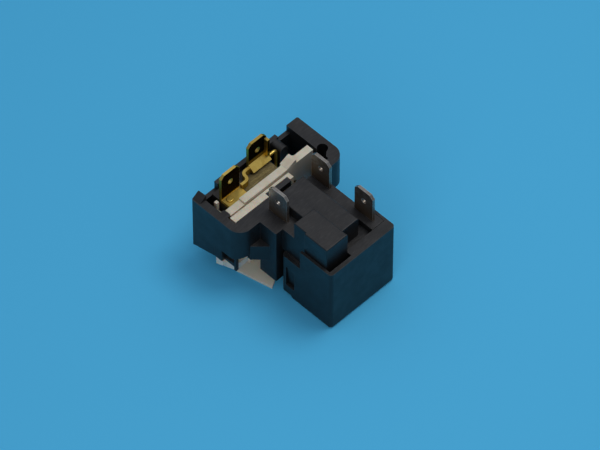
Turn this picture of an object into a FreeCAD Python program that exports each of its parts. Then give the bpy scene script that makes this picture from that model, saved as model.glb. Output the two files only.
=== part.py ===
import FreeCAD, Part
import math
import os
from FreeCAD import Vector

# Compressor start relay with its overload protector, in millimetres.
# X runs from the wing to the cup, Y runs along the wing, Z is up.
# The origin is at the middle of the whole part, on the plane that it rests on.

# Wing, which holds the protector
wing_width = 17.2
wing_length = 37.3
wing_rise = 1.4
wing_depth = 18.2
shell_slope = 25.5
wing_corner_radius = 3.6
wing_edge_radius = 0.5
wing_wall = 1.25
near_wall = 2.2
far_wall = 3.9
pocket_width = 12.0
wire_room_width = 1.7
wire_room_near = -3.0
wire_room_depth = 6.9
rib_width = 0.8
low_wall_drop = 2.6
low_wall_length = 5.8
slot_wall_drop = 2.0
stop_block_length = 2.7
stop_block_depth = 3.4
stop_block_setback = 6.8
far_hole_bore = 2.9
far_hole_x = -8.95
far_hole_inset = 2.7
notch_width = 6.2
notch_x = -9.4
notch_height = 6.8

# Neck between the wing and the cup
neck_length = 6.5
neck_drop = 0.9
neck_near_overhang = 1.0
neck_far_inset = 1.9
neck_channel = 0.9
gusset_depth = 6.9
gusset_height = 5.3
gusset_leg = 3.45
tongue_setback = 2.4

# Cup, which slips over the starter body from below
cup_length = 17.4
cup_width = 22.7
cup_offset = 0.7
cup_height = 21.7
cup_wall = 0.75
cup_end_wall = 1.2
cup_back_wall = 0.95
cup_floor = 2.4
cup_low_drop = 6.7
cup_low_length = 6.5
cup_corner_radius = 1.0
cup_bottom_radius = 0.8
cup_bevel_length = 4.4
cup_bevel_height = 1.2
shelf_width = 3.05
shelf_depth = 4.5
window_width = 2.9
window_foot = 4.1
window_top_drop = 3.6
window_setback = 1.6
fit_gap = 0.15

# Starter body, deck and raised block
deck_rise = 4.6
deck_overlap = 1.0
deck_near = -4.9
deck_far = 4.5
deck_end_gap = 2.4
block_rise = 2.7
block_x0 = 6.25
block_length = 11.85
block_step = 0.5
block_step_length = 4.1
block_far = -2.45
pit_depth = 2.1
pit_x0 = 12.5
pit_far = 7.1
body_wall = 1.3
body_foot_gap = 0.4
roof_thickness = 1.6
edge_radius = 0.3
latch_nose_depth = 0.7

# Push-on blades
blade_width = 6.3
blade_thickness = 0.8
blade_hole = 1.65
blade_hole_drop = 3.9
blade_chamfer = 1.1
blade_gap = 0.1
tab_height = 9.3
near_tab_x = -1.5
near_tab_y = -7.2
middle_tab_x = -2.4
middle_tab_y = 8.65
far_tab_x = 12.4
far_tab_y = 8.95
tab_leg_width = 3.6
tab_leg_shift = 1.0
strap_height = 2.4

# Insulator carrier
bar_width = 2.1
bar_inset = 6.95
bar_end_gap = 0.8
bar_height = 6.6
bar_deep_drop = 3.1
bar_step = 0.6
bar_step_length = 5.6
groove_width = 0.8
groove_depth = 1.8
second_bar_width = 2.0
second_bar_overhang = 0.4
second_bar_length = 11.2
stub_depth = 0.6
stub_height = 1.6
stub_overlap = 0.3
fence_length = 7.65
fence_width = 0.7
post_block_length = 1.2
post_block_gap = 0.15
bulge_depth = 1.25
bulge_setback = 9.7
bulge_ramp = 3.75
bulge_length = 4.95
web_length = 2.4
nose_inset = 0.35
nose_drop = 0.7
nose_width = 2.35
nose_height = 2.9
nose_length = 5.7
nose_back_drop = 1.7
nose_back_inset = 1.65
nose_back_x0 = -11.0
nose_back_x1 = -6.6
nose_back_height = 4.0
leg_setback = 8.2
leg_length = 2.3
leg_width = 2.0
leg_arm_height = 2.5
post_width = 0.9
post_x = -15.9
post_inset = 0.75
post_drop = 0.8
post_foot_height = 2.5
foot_plate_thickness = 0.7
foot_plate_x = -9.5
foot_plate_setback = 4.3
foot_plate_length = 10.85
foot_plate_angle = 13.1
foot_plate_depth = 9.0
foot_plate_lean = 1.9

# Protector
protector_x = 0.8
base_top_drop = 1.8
base_top_overhang = 2.8
base_gap = 0.15
base_setback = 5.75
base_lift = 3.2
shoulder_drop = 0.8
case_diameter = 9.6
case_height = 4.0
case_wall = 0.5
case_radius = 0.6
disc_diameter = 8.2
disc_thickness = 0.3
disc_rise = 0.35
disc_height = 0.7
contact_diameter = 2.2
contact_thickness = 0.7
contact_offset = 2.8
shank_diameter = 1.2
shank_length = 1.6
stud_diameter = 1.8
stud_head = 0.4
part_gap = 0.05

# Brass parts of the protector
near_blade_x = -16.25
near_blade_inset = 2.9
far_blade_x = -18.6
far_blade_inset = 6.0
brass_height = 7.9
far_foot_reach = 2.5
far_foot_height = 2.1
far_leg_width = 3.0
far_leg_length = 2.4
flange_length = 2.0
flange_inset = 0.4
ribbon_thickness = 0.8
ribbon_height = 2.0
ribbon_near_x = -14.9
ribbon_far_x = -17.4
ribbon_steps = 6
rivet_x = -14.2
rivet_inset = 1.5
rivet_head_diameter = 1.9
rivet_head_height = 0.35
hook_wire = 0.9
hook_drop = 0.2
hook_x = -16.9

# Compressor pin sockets
pin_diameter = 3.2
socket_wall = 0.5
socket_length = 8.6
socket_slit = 0.6
socket_spacing = 10.4
socket_x = 8.2
lug_width = 2.0
lug_thickness = 0.7
bore_rise = 1.0
pin_hole = 3.9

# Starting disc and its spring contacts
pill_room = 6.7
pill_lift = 0.5
pill_thickness = 2.4
pill_x = 12.7
spring_thickness = 0.35
spring_near = -7.0
spring_far = -1.0
outer_spring_half = 3.0
spring_bow = 0.4
spring_share = 0.36
cradle_half = 4.0
cradle_height = 2.0
sheet_thickness = 0.3
sheet_half = 7.6
sheet_drop = 1.4

# Places that follow from the sizes above
wing_x0 = -(wing_width + neck_length + cup_length) / 2
wing_x1 = wing_x0 + wing_width
wing_y1 = wing_length / 2
wing_y0 = -wing_y1
wing_top = cup_height + wing_rise
wing_foot = wing_top - wing_depth
notch_top = wing_foot + notch_height
wire_room_foot = wing_top - wire_room_depth
cup_x0 = wing_x1 + neck_length
cup_x1 = cup_x0 + cup_length
cup_y0 = cup_offset - cup_width / 2
cup_y1 = cup_offset + cup_width / 2
low_x1 = cup_x0 + cup_low_length
cup_low_height = cup_height - cup_low_drop
window_top = cup_low_height - window_top_drop
deck_top = cup_height + deck_rise
block_top = deck_top + block_rise
pit_floor = cup_height - pit_depth
bridge_foot = cup_low_height + fit_gap
neck_near = cup_y0 - neck_near_overhang
neck_far = cup_y1 - neck_far_inset
neck_foot = wing_foot - neck_drop
gusset_top = wing_top - gusset_depth
gusset_foot = gusset_top - gusset_height
neck_x1 = cup_x0 - neck_channel
tongue_near = neck_near + tongue_setback
pocket_x0 = wing_x0 + wing_wall
pocket_x1 = pocket_x0 + pocket_width
pocket_x = (pocket_x0 + pocket_x1) / 2
pocket_y0 = wing_y0 + near_wall
pocket_y1 = wing_y1 - far_wall
body_x0 = cup_x0 + cup_back_wall + fit_gap
body_x1 = cup_x1 - shelf_width - fit_gap
body_y0 = cup_y0 + cup_wall + fit_gap
body_y1 = cup_y1 - cup_wall - fit_gap
body_foot = cup_floor + body_foot_gap
room_x0 = body_x0 + body_wall
room_y0 = body_y0 + body_wall
room_y1 = body_y1 - body_wall
block_x1 = block_x0 + block_length
deck_x0 = wing_x1 - deck_overlap
deck_x1 = body_x1 - deck_end_gap
stop_block_near = pocket_y1 - stop_block_setback
bar_near = pocket_y0 + bar_end_gap
bar_far = pocket_y1 - bar_end_gap
bar_foot = wing_top - bar_height
bar_step_end = bar_near + bar_step_length
second_bar_end = bar_near + second_bar_length
fence_end = second_bar_end + fence_length
bulge_near = bar_far - bulge_setback
bar_x0 = pocket_x0 + bar_inset
bar_x1 = bar_x0 + bar_width
second_x0 = bar_x1 + groove_width
second_x1 = second_x0 + second_bar_width
fence_x1 = second_x0 + fence_width
bar_start = bar_near + stub_depth
base_near = wing_y0 + base_setback
base_far = stop_block_near - base_gap
base_top = wing_top - base_top_drop
base_shoulder = bar_foot - shoulder_drop
protector_y = (base_near + base_far) / 2
near_blade_y = base_near + near_blade_inset
far_blade_y = base_far - far_blade_inset
brass_tip = wing_top + brass_height
rivet_y = base_near + rivet_inset
pill_diameter = cup_height - pill_room
pill_height = cup_floor + pill_lift + pill_diameter / 2
spring_reach = pill_diameter * spring_share
socket_radius = pin_diameter / 2 + socket_wall
start_y = -socket_spacing / 2
run_y = socket_spacing / 2
common_x = socket_x - socket_spacing * math.sin(math.radians(60))
socket_foot = cup_floor + part_gap
socket_top = socket_foot + socket_length
common_foot = neck_foot + part_gap
common_top = common_foot + socket_length
jumper_top = bar_foot - part_gap
jumper_foot = base_shoulder + part_gap
slope = math.tan(math.radians(shell_slope))
lean = math.cos(math.radians(shell_slope))
OVER = 1.0


def underside(x, lift=0.0):
    """Height at x of the plane that lies the given lift above the wing's sloping underside."""
    return wing_foot + (x - wing_x0) * slope + lift / lean


def box(x0, x1, y0, y1, z0, z1):
    return Part.makeBox(x1 - x0, y1 - y0, z1 - z0, Vector(x0, y0, z0))


def drum(x, y, z0, z1, diameter):
    return Part.makeCylinder(diameter / 2, z1 - z0, Vector(x, y, z0))


def prism(points, low, high, axis="Z"):
    """A prism on an outline: X,Y points along Z, X,Z points along Y, or Y,Z points along X."""
    if axis == "Z":
        corners = [Vector(x, y, low) for x, y in points]
        along = Vector(0, 0, 1)
    elif axis == "Y":
        corners = [Vector(x, low, z) for x, z in points]
        along = Vector(0, 1, 0)
    else:
        corners = [Vector(low, y, z) for y, z in points]
        along = Vector(1, 0, 0)
    face = Part.Face(Part.makePolygon(corners + corners[:1]))
    return face.extrude(along * (high - low))


def strip(points, thickness, low, high, axis="Y"):
    """A flat strip bent along a line of points, and as wide as low to high."""
    left = []
    right = []
    last = len(points) - 1
    for i, (u, v) in enumerate(points):
        before = points[max(i - 1, 0)]
        after = points[min(i + 1, last)]
        angle_in = math.atan2(v - before[1], u - before[0])
        angle_out = math.atan2(after[1] - v, after[0] - u)
        if i == 0:
            angle_in = angle_out
        if i == last:
            angle_out = angle_in
        middle = (angle_in + angle_out) / 2
        reach = thickness / 2 / math.cos((angle_out - angle_in) / 2)
        left.append((u - reach * math.sin(middle), v + reach * math.cos(middle)))
        right.append((u + reach * math.sin(middle), v - reach * math.cos(middle)))
    return prism(left + right[::-1], low, high, axis)


def turned(outline, x=0.0, y=0.0):
    """A turned solid on a closed outline of radius and height points, about the axis at x, y."""
    corners = [Vector(r, 0, z) for r, z in outline]
    face = Part.Face(Part.makePolygon(corners + corners[:1]))
    solid = face.revolve(Vector(0, 0, 0), Vector(0, 0, 1), 360)
    solid.translate(Vector(x, y, 0))
    return solid


def round_upright(shape, corners, radius):
    """Round the vertical edges that stand at the given X,Y corners."""
    edges = []
    for edge in shape.Edges:
        ends = [v.Point for v in edge.Vertexes]
        for x, y in corners:
            if len(ends) == 2 and all(math.hypot(p.x - x, p.y - y) < 1e-4 for p in ends):
                edges.append(edge)
    return shape.makeFillet(radius, edges)


def round_level(shape, height, radius):
    """Round the edges that lie in the plane at one height."""
    edges = [e for e in shape.Edges if all(abs(v.Z - height) < 1e-4 for v in e.Vertexes)]
    return shape.makeFillet(radius, edges)


def on_slope(shape):
    """Lay a shape that was made flat about the Z axis along the wing's sloping underside."""
    shape = shape.copy()
    shape.translate(Vector(protector_x, 0, 0))
    shape.rotate(Vector(0, 0, 0), Vector(0, 1, 0), -shell_slope)
    shape.translate(Vector(pocket_x, 0, underside(pocket_x)))
    return shape


def save(name, shape):
    shape.exportStep("parts/" + name + ".step")


# Main housing

def wing_shell():
    """The wing with its sloping underside, before its pocket is cut."""
    block = box(wing_x0, wing_x1, wing_y0, wing_y1, wing_foot, wing_top)
    block = round_upright(block, [(wing_x1, wing_y0), (wing_x1, wing_y1)], wing_corner_radius)
    block = round_upright(block, [(wing_x0, wing_y0), (wing_x0, wing_y1)], wing_edge_radius)
    low = wing_foot - OVER
    below = prism(
        [
            (wing_x0 - OVER, low),
            (wing_x1 + OVER, low),
            (wing_x1 + OVER, underside(wing_x1 + OVER)),
            (wing_x0 - OVER, underside(wing_x0 - OVER)),
        ],
        wing_y0 - OVER,
        wing_y1 + OVER,
        "Y",
    )
    return block.cut(below)


def pocket():
    """The room for the protector and the insulator, open above and below."""
    room = box(pocket_x0, pocket_x1, pocket_y0, pocket_y1, 0, wing_top + OVER)
    wires = box(
        pocket_x1 - OVER, pocket_x1 + wire_room_width, wire_room_near, pocket_y1,
        wire_room_foot, wing_top + OVER,
    )
    return room.fuse(wires)


def support_ribs():
    """The two ribs in the pocket that the protector's base rests on."""
    ribs = []
    for x0, x1 in (
        (pocket_x0 - rib_width, pocket_x0 + rib_width),
        (pocket_x1 - rib_width, pocket_x1 + rib_width),
    ):
        outline = [
            (x0, underside(x0)),
            (x1, underside(x1)),
            (x1, underside(x1, base_lift)),
            (x0, underside(x0, base_lift)),
        ]
        ribs.append(prism(outline, base_near, base_far, "Y"))
    return ribs


def stop_block():
    """The round-topped block on the outer wall, beyond the far blade."""
    block = box(
        pocket_x0 - wing_wall / 2, pocket_x0 + stop_block_depth,
        stop_block_near, stop_block_near + stop_block_length, base_shoulder, wing_top,
    )
    along_x = [
        e for e in block.Edges
        if all(abs(v.Z - wing_top) < 1e-4 for v in e.Vertexes)
        and abs(e.Vertexes[0].Y - e.Vertexes[1].Y) < 1e-4
    ]
    return block.makeFillet(stop_block_length * 0.48, along_x)


def wing_cuts():
    """The low stretch of the outer wall, the far wall's hole and channel, and the notch."""
    low_wall = box(
        wing_x0 - OVER, pocket_x0 + OVER, pocket_y0, pocket_y0 + low_wall_length,
        wing_top - low_wall_drop, wing_top + OVER,
    )
    slot_wall = box(
        wing_x0 - OVER, pocket_x0 + OVER, stop_block_near + stop_block_length, pocket_y1,
        wing_top - slot_wall_drop, wing_top + OVER,
    )
    hole_y = wing_y1 - far_hole_inset
    hole = drum(far_hole_x, hole_y, bar_foot, wing_top + OVER, far_hole_bore)
    channel = prism(
        [
            (far_hole_x - far_hole_bore / 4, hole_y),
            (far_hole_x + far_hole_bore / 2, hole_y),
            (pocket_x1 + wire_room_width, pocket_y1 - OVER),
            (pocket_x1 - far_hole_bore / 2, pocket_y1 - OVER),
        ],
        bar_foot,
        wing_top + OVER,
    )
    notch = box(
        notch_x - notch_width / 2, notch_x + notch_width / 2, wing_y0 - OVER, pocket_y0 + OVER,
        0, notch_top,
    )
    return [low_wall, slot_wall, hole, channel, notch]


def neck():
    """The neck, with the gusset that fills its corner with the wing."""
    block = box(wing_x1 - OVER, neck_x1, neck_near, neck_far, neck_foot, wing_top)
    outer = round_upright(block, [(neck_x1, neck_near)], edge_radius)
    slant = prism(
        [
            (wing_x1 - 2 * OVER, neck_foot - OVER),
            (wing_x1, neck_foot - OVER),
            (wing_x1, underside(wing_x1) - OVER),
            (wing_x1 - 2 * OVER, underside(wing_x1 - 2 * OVER)),
        ],
        neck_near - OVER,
        neck_far + OVER,
        "Y",
    )
    gusset = prism(
        [
            (wing_x1 - OVER, neck_near + OVER),
            (wing_x1 - OVER, neck_near - gusset_leg),
            (wing_x1, neck_near - gusset_leg),
            (wing_x1 + gusset_leg, neck_near),
            (wing_x1 + gusset_leg, neck_near + OVER),
        ],
        gusset_foot,
        gusset_top,
    )
    return outer.cut(slant).fuse(gusset)


def block_outline():
    step_x = block_x0 + block_step_length
    return [
        (block_x0, body_y0 + block_step),
        (step_x, body_y0 + block_step),
        (step_x, body_y0),
        (block_x1, body_y0),
        (block_x1, block_far),
        (block_x0, block_far),
    ]


def starter_body():
    """The body inside the cup, with its deck, raised block and strip for the tabs."""
    lower = box(body_x0, body_x1, body_y0, body_y1, body_foot, pit_floor)
    nose = box(body_x1 - OVER, block_x1, body_y0, block_far, body_foot, pit_floor)
    block = prism(block_outline(), pit_floor - OVER, block_top)
    block = round_upright(block, [(block_x1, body_y0)], edge_radius)
    block = round_level(block, block_top, edge_radius)
    deck = box(deck_x0, deck_x1, deck_near, deck_far, pit_floor - OVER, deck_top)
    deck = round_level(deck, deck_top, edge_radius)
    bridge = box(neck_x1 - OVER, low_x1, tongue_near, neck_far, bridge_foot, wing_top)
    tab_strip = box(low_x1 - OVER, body_x1, deck_far - OVER, body_y1, pit_floor - OVER, cup_height)
    pit = box(deck_x1, body_x1 + OVER, block_far, pit_far, pit_floor, deck_top + OVER)
    pit_side = box(pit_x0, body_x1 + OVER, deck_far, pit_far, pit_floor, deck_top + OVER)
    return lower.fuse([nose, block, deck, bridge, tab_strip]).cut([pit, pit_side])


def low_wall_steps():
    """What the body gives up where the cup's walls are low, on both sides."""
    x0 = body_x0 - OVER
    near = box(x0, low_x1, body_y0 - OVER, tongue_near, cup_low_height, block_top + OVER)
    far = box(x0, low_x1, neck_far, body_y1 + OVER, cup_low_height, block_top + OVER)
    return [near, far]


def body_rooms():
    """The rooms inside the body: a tall one at the sockets, and a low one round the disc."""
    tall = box(
        room_x0, pit_x0 - body_wall, room_y0, room_y1, body_foot - OVER, cup_height - roof_thickness
    )
    low = box(
        room_x0, body_x1 - body_wall, room_y0, room_y1, body_foot - OVER, pit_floor - roof_thickness
    )
    return [tall, low]


def common_pin_room():
    """The bore in the neck for the common pin's socket, and the channel for the jumper."""
    bore = drum(common_x, 0, neck_foot - OVER, common_top + bore_rise, 2 * (socket_radius + blade_gap))
    lug = box(
        common_x - lug_width / 2 - blade_gap, common_x + lug_width / 2 + blade_gap,
        0, socket_radius + blade_gap, common_top - OVER, jumper_foot,
    )
    channel = box(
        pocket_x1 - OVER, common_x + lug_width / 2 + blade_gap,
        -lug_width / 2 - blade_gap, socket_radius + blade_gap,
        jumper_foot - part_gap, jumper_top + blade_gap,
    )
    return [bore, lug, channel]


def grown(x0, x1, y0, y1, z0, z1):
    """A slot round a plate with the blades' clearance on every side."""
    g = blade_gap
    return box(x0 - g, x1 + g, y0 - g, y1 + g, z0 - g, z1 + g)


def tab_slots():
    return [
        grown(*near_leg_box(wing_top)),
        grown(*near_foot_box()),
        grown(*middle_leg_box(cup_height)),
        grown(*middle_strap_box()),
        grown(*far_leg_box(cup_height)),
    ]


def latch_noses():
    """The wedges on the body that snap into the cup's windows."""
    noses = []
    x0 = cup_x0 + window_setback + fit_gap
    x1 = x0 + window_width - 2 * fit_gap
    top = window_top - fit_gap
    for side, y in ((-1, body_y0), (1, body_y1)):
        outline = [
            (y, top),
            (y + side * latch_nose_depth, top),
            (y, window_foot + 2 * fit_gap),
            (y - side * OVER, window_foot + 2 * fit_gap),
            (y - side * OVER, top),
        ]
        noses.append(prism(outline, x0, x1, "X"))
    return noses


def bar_stub():
    """The stub on the near wall that stands before the end of the insulator's main bar."""
    far = bar_start - fit_gap
    x1 = bar_x1 + stub_overlap
    stub = box(bar_x0, x1, pocket_y0 - OVER, far, wing_top - stub_height, wing_top)
    return round_upright(stub, [(bar_x0, far), (x1, far)], stub_depth)


def fence_wall():
    """The stretch of the pocket's wall that stands close behind the insulator's fence."""
    return box(
        fence_x1 + fit_gap, pocket_x1 + fit_gap, second_bar_end + fit_gap, fence_end - fit_gap,
        bar_foot, wing_top,
    )


def main_housing():
    wing = wing_shell()
    body = starter_body().cut(low_wall_steps())
    housing = wing.fuse([neck(), body])
    round_middle_tab = box(pocket_x1, low_x1, deck_far, neck_far, cup_height, wing_top + OVER)
    housing = housing.cut([round_middle_tab, pocket()] + wing_cuts())
    housing = housing.fuse(support_ribs() + [stop_block(), bar_stub(), fence_wall()] + latch_noses())
    return housing.cut(body_rooms() + common_pin_room() + tab_slots()).removeSplitter()


# Lower cup

def cup_shell():
    block = box(cup_x0, cup_x1, cup_y0, cup_y1, 0, cup_height)
    corners = [(cup_x0, cup_y0), (cup_x0, cup_y1), (cup_x1, cup_y0), (cup_x1, cup_y1)]
    block = round_upright(block, corners, cup_corner_radius)
    block = round_level(block, 0, cup_bottom_radius)
    inner_y0 = cup_y0 + cup_wall
    inner_y1 = cup_y1 - cup_wall
    x0 = cup_x0 + cup_back_wall
    inside = box(x0, cup_x1 - shelf_width, inner_y0, inner_y1, cup_floor, cup_height + OVER)
    nose = box(x0, cup_x1 - cup_end_wall, inner_y0, block_far + fit_gap, cup_floor, cup_height + OVER)
    under = box(x0, cup_x1 - cup_end_wall, inner_y0, inner_y1, cup_floor, cup_height - shelf_depth)
    return block.cut([inside, nose, under])


def cup_cuts():
    """The low stretch of wall by the neck, the latch windows, pin holes and the bevelled heel."""
    low = box(
        cup_x0 - OVER, low_x1, cup_y0 - OVER, cup_y1 + OVER, cup_low_height, cup_height + OVER
    )
    window_x0 = cup_x0 + window_setback
    window = box(
        window_x0, window_x0 + window_width, cup_y0 - OVER, cup_y1 + OVER,
        window_foot, window_top,
    )
    holes = [drum(socket_x, y, -OVER, cup_floor + OVER, pin_hole) for y in (start_y, run_y)]
    heel = prism(
        [
            (cup_x0 - OVER, -OVER),
            (cup_x0 + cup_bevel_length, -OVER),
            (cup_x0 + cup_bevel_length, 0),
            (cup_x0 + cup_bevel_length - cup_bevel_height, cup_bevel_height),
            (cup_x0 - OVER, cup_bevel_height),
        ],
        cup_y0 - OVER,
        cup_y1 + OVER,
        "Y",
    )
    return [low, window, heel] + holes


def pill_cradle():
    """The rib on the cup's floor that the starting disc stands in."""
    rib = box(
        pill_x - pill_thickness / 2, pill_x + pill_thickness / 2, -cradle_half, cradle_half,
        cup_floor - OVER / 2, cup_floor + cradle_height,
    )
    disc = pill_round(pill_diameter + 2 * part_gap, OVER)
    return rib.cut(disc)


def lower_cup():
    return cup_shell().cut(cup_cuts()).fuse(pill_cradle()).removeSplitter()


# Starting disc, springs and pin sockets

def pill_round(diameter, extra=0.0):
    return Part.makeCylinder(
        diameter / 2, pill_thickness + 2 * extra,
        Vector(pill_x - pill_thickness / 2 - extra, 0, pill_height), Vector(1, 0, 0),
    )


def ptc_pill():
    disc = pill_round(pill_diameter)
    return disc.makeFillet(edge_radius, [e for e in disc.Edges if len(e.Vertexes) == 1])


def bowed_points(flat_x, way):
    """X,Z points of a spring that stands at flat_x and bows towards the disc's face."""
    foot = pill_height - spring_reach
    top = pill_height + spring_reach
    return [
        (flat_x, foot),
        (flat_x + way * spring_bow, pill_height - spring_reach / 2),
        (flat_x + way * spring_bow, pill_height + spring_reach / 2),
        (flat_x, top),
    ]


def inner_flat_x():
    return pill_x - pill_thickness / 2 - spring_bow - spring_thickness / 2 - part_gap


def inner_pill_spring():
    flat_x = inner_flat_x()
    tail = pill_height + pill_diameter / 2 - part_gap
    points = bowed_points(flat_x, 1) + [(flat_x, tail), (socket_x - lug_width / 2, tail)]
    return strip(points, spring_thickness, spring_near, spring_far, "Y")


def outer_pill_spring():
    flat_x = pill_x + pill_thickness / 2 + spring_bow + spring_thickness / 2 + part_gap
    points = bowed_points(flat_x, -1)
    bow = strip(points, spring_thickness, -outer_spring_half, outer_spring_half, "Y")
    foot = pill_height - spring_reach
    arm = box(
        flat_x - spring_thickness / 2, flat_x + spring_thickness / 2,
        outer_spring_half - OVER, far_tab_y - part_gap, foot, foot + strap_height / 2,
    )
    return bow.fuse(arm).removeSplitter()


def pin_sleeve(x, y, foot):
    """A rolled sleeve with a slit, that grips one of the compressor's pins."""
    outer = drum(x, y, foot, foot + socket_length, 2 * socket_radius)
    bore = drum(x, y, foot - OVER, foot + socket_length + OVER, pin_diameter)
    slit = box(
        x - 2 * socket_radius, x, y - socket_slit / 2, y + socket_slit / 2,
        foot - OVER, foot + socket_length + OVER,
    )
    return outer.cut([bore, slit])


def start_pin_socket():
    """Its lug stands on the side by the middle and reaches up under the inner spring's tail."""
    sleeve = pin_sleeve(socket_x, start_y, socket_foot)
    tail = pill_height + pill_diameter / 2 - part_gap
    y0 = start_y + socket_radius - lug_thickness / 2
    lug = box(
        socket_x - lug_width / 2, socket_x + lug_width / 2, y0, y0 + lug_thickness,
        socket_foot + OVER, tail - spring_thickness / 2 - part_gap,
    )
    return sleeve.fuse(lug).removeSplitter()


def run_pin_socket():
    """Its lug lies flat against the middle tab's strap."""
    sleeve = pin_sleeve(socket_x, run_y, socket_foot)
    y1 = middle_tab_y - part_gap
    x0 = socket_x - lug_width / 2
    x1 = socket_x + lug_width / 2
    root = box(x0, x1, run_y + socket_radius - socket_wall / 2, y1, socket_foot + OVER, socket_top)
    lug = box(x0, x1, y1 - lug_thickness, y1, socket_foot + OVER, strap_foot() + strap_height)
    return sleeve.fuse([root, lug]).removeSplitter()


def common_pin_socket():
    sleeve = pin_sleeve(common_x, 0, common_foot)
    lug = box(
        common_x - lug_width / 2, common_x + lug_width / 2,
        pin_diameter / 2 + part_gap, socket_radius, common_top - OVER, jumper_foot - part_gap,
    )
    return sleeve.fuse(lug).removeSplitter()


def common_jumper():
    """The flat strip from the protector's shoulder to the common pin's socket."""
    return box(
        second_x0 - OVER, common_x + lug_width / 2, -lug_width / 2, socket_radius,
        jumper_foot, jumper_top - blade_gap,
    )


def insulating_sheet():
    x1 = inner_flat_x() - spring_thickness / 2 - part_gap
    return box(
        x1 - sheet_thickness, x1, -sheet_half, sheet_half,
        cup_floor + part_gap, cup_floor + part_gap + pill_diameter - sheet_drop,
    )


# Tinned tabs

def upright_blade(x, y, base, tip):
    """A blade whose faces look along Y, with its two clipped corners and its hole."""
    half = blade_width / 2
    outline = [
        (x - half, base),
        (x + half, base),
        (x + half, tip - blade_chamfer),
        (x + half - blade_chamfer, tip),
        (x - half + blade_chamfer, tip),
        (x - half, tip - blade_chamfer),
    ]
    plate = prism(outline, y, y + blade_thickness, "Y")
    hole = Part.makeCylinder(
        blade_hole / 2, blade_thickness + 2 * OVER,
        Vector(x, y - OVER, tip - blade_hole_drop), Vector(0, 1, 0),
    )
    return plate.cut(hole)


def strap_foot():
    return bridge_foot + 1.5 * OVER


def near_leg_box(top):
    return (
        near_tab_x - tab_leg_width / 2, near_tab_x + tab_leg_width / 2,
        near_tab_y, near_tab_y + blade_thickness, jumper_top, top,
    )


def near_foot_box():
    return (
        near_tab_x - tab_leg_width / 2, near_tab_x + tab_leg_width / 2,
        near_tab_y, 0, jumper_top, jumper_top + blade_thickness,
    )


def middle_leg_box(top):
    return (
        middle_tab_x - tab_leg_width / 2, middle_tab_x + tab_leg_width / 2,
        middle_tab_y, middle_tab_y + blade_thickness, strap_foot(), top,
    )


def middle_strap_box():
    return (
        middle_tab_x - tab_leg_width / 2, socket_x + lug_width / 2,
        middle_tab_y, middle_tab_y + blade_thickness, strap_foot(), strap_foot() + strap_height,
    )


def far_leg_box(top):
    x1 = far_tab_x - tab_leg_shift + tab_leg_width / 2
    return (
        x1 - tab_leg_width, x1, far_tab_y, far_tab_y + blade_thickness,
        pill_height - spring_reach, top,
    )


def near_terminal():
    tab = upright_blade(near_tab_x, near_tab_y, wing_top, wing_top + tab_height)
    return tab.fuse([box(*near_leg_box(wing_top)), box(*near_foot_box())]).removeSplitter()


def middle_terminal():
    tab = upright_blade(middle_tab_x, middle_tab_y, cup_height, cup_height + tab_height)
    return tab.fuse([box(*middle_leg_box(cup_height)), box(*middle_strap_box())]).removeSplitter()


def far_terminal():
    """Its leg ends in a toe that the outer spring's arm touches."""
    tab = upright_blade(far_tab_x, far_tab_y, cup_height, cup_height + tab_height)
    leg = far_leg_box(cup_height)
    toe = box(
        leg[0], body_x1 - body_wall - blade_gap, leg[2], leg[3], leg[4], leg[4] + strap_height
    )
    return tab.fuse([box(*leg), toe]).removeSplitter()


# Insulator carrier

def carrier_bars():
    main = box(bar_x0, bar_x1, bar_start, bar_far, bar_foot, wing_top)
    deep = box(bar_x0, bar_x1, stop_block_near, bar_far, bar_foot - bar_deep_drop, bar_foot + OVER)
    bulge = prism(
        [
            (bar_x0 + OVER, bulge_near),
            (bar_x0, bulge_near),
            (bar_x0 - bulge_depth, bulge_near + bulge_ramp),
            (bar_x0, bulge_near + bulge_length),
            (bar_x0 + OVER, bulge_near + bulge_length),
        ],
        bar_foot,
        wing_top,
    )
    second = box(
        second_x0, second_x1, bar_near - second_bar_overhang, second_bar_end, bar_foot, wing_top
    )
    floor_top = wing_top - groove_depth
    floor = box(bar_x0, second_x1, bar_start, second_bar_end, bar_foot, floor_top)
    ledge = box(bar_x0, fence_x1, second_bar_end - OVER, fence_end + post_block_length, bar_foot, floor_top)
    fence = box(second_x0, fence_x1, second_bar_end - OVER, fence_end, bar_foot, wing_top)
    block = box(
        second_x0, second_x1 - post_block_gap, fence_end, fence_end + post_block_length,
        bar_foot, wing_top,
    )
    bars = main.fuse([deep, bulge, second, floor, ledge, fence, block])
    step = box(
        bar_x0 - OVER, bar_x1, bar_near - OVER, bar_step_end, wing_top - bar_step, wing_top + OVER
    )
    return bars.cut(step)


def nose_piece(x0, x1, foot, height, near):
    """A stretch of the nose, whose lower face follows the wing's slope."""
    outline = [
        (x0, foot),
        (x1, foot + (x1 - x0) * slope),
        (x1, foot + height),
        (x0, foot + height),
    ]
    return prism(outline, near, wing_y0 + nose_length, "Y")


def carrier_nose():
    """The nose below the wing's notch, in two steps, and the web that carries it."""
    front = nose_piece(
        bar_x0, bar_x0 + nose_width, wing_foot - nose_drop, nose_height, wing_y0 + nose_inset
    )
    back = nose_piece(
        nose_back_x0, nose_back_x1, wing_foot - nose_back_drop, nose_back_height,
        wing_y0 + nose_back_inset,
    )
    web = box(
        bar_x0, second_x1, bar_near, bar_near + web_length, wing_foot + OVER, bar_foot + OVER
    )
    return front.fuse([back, web])


def near_post():
    """The thin post beside the near blade's foot, on its own low bridge from the bar."""
    x0 = post_x - post_width / 2
    near = bar_near + post_inset
    post = box(x0, x0 + post_width, near, near + post_width, bar_foot, wing_top - post_drop)
    bridge = box(
        x0, bar_x0 + OVER, near, near + post_width, bar_foot, bar_foot + post_foot_height
    )
    return post.fuse(bridge)


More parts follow.
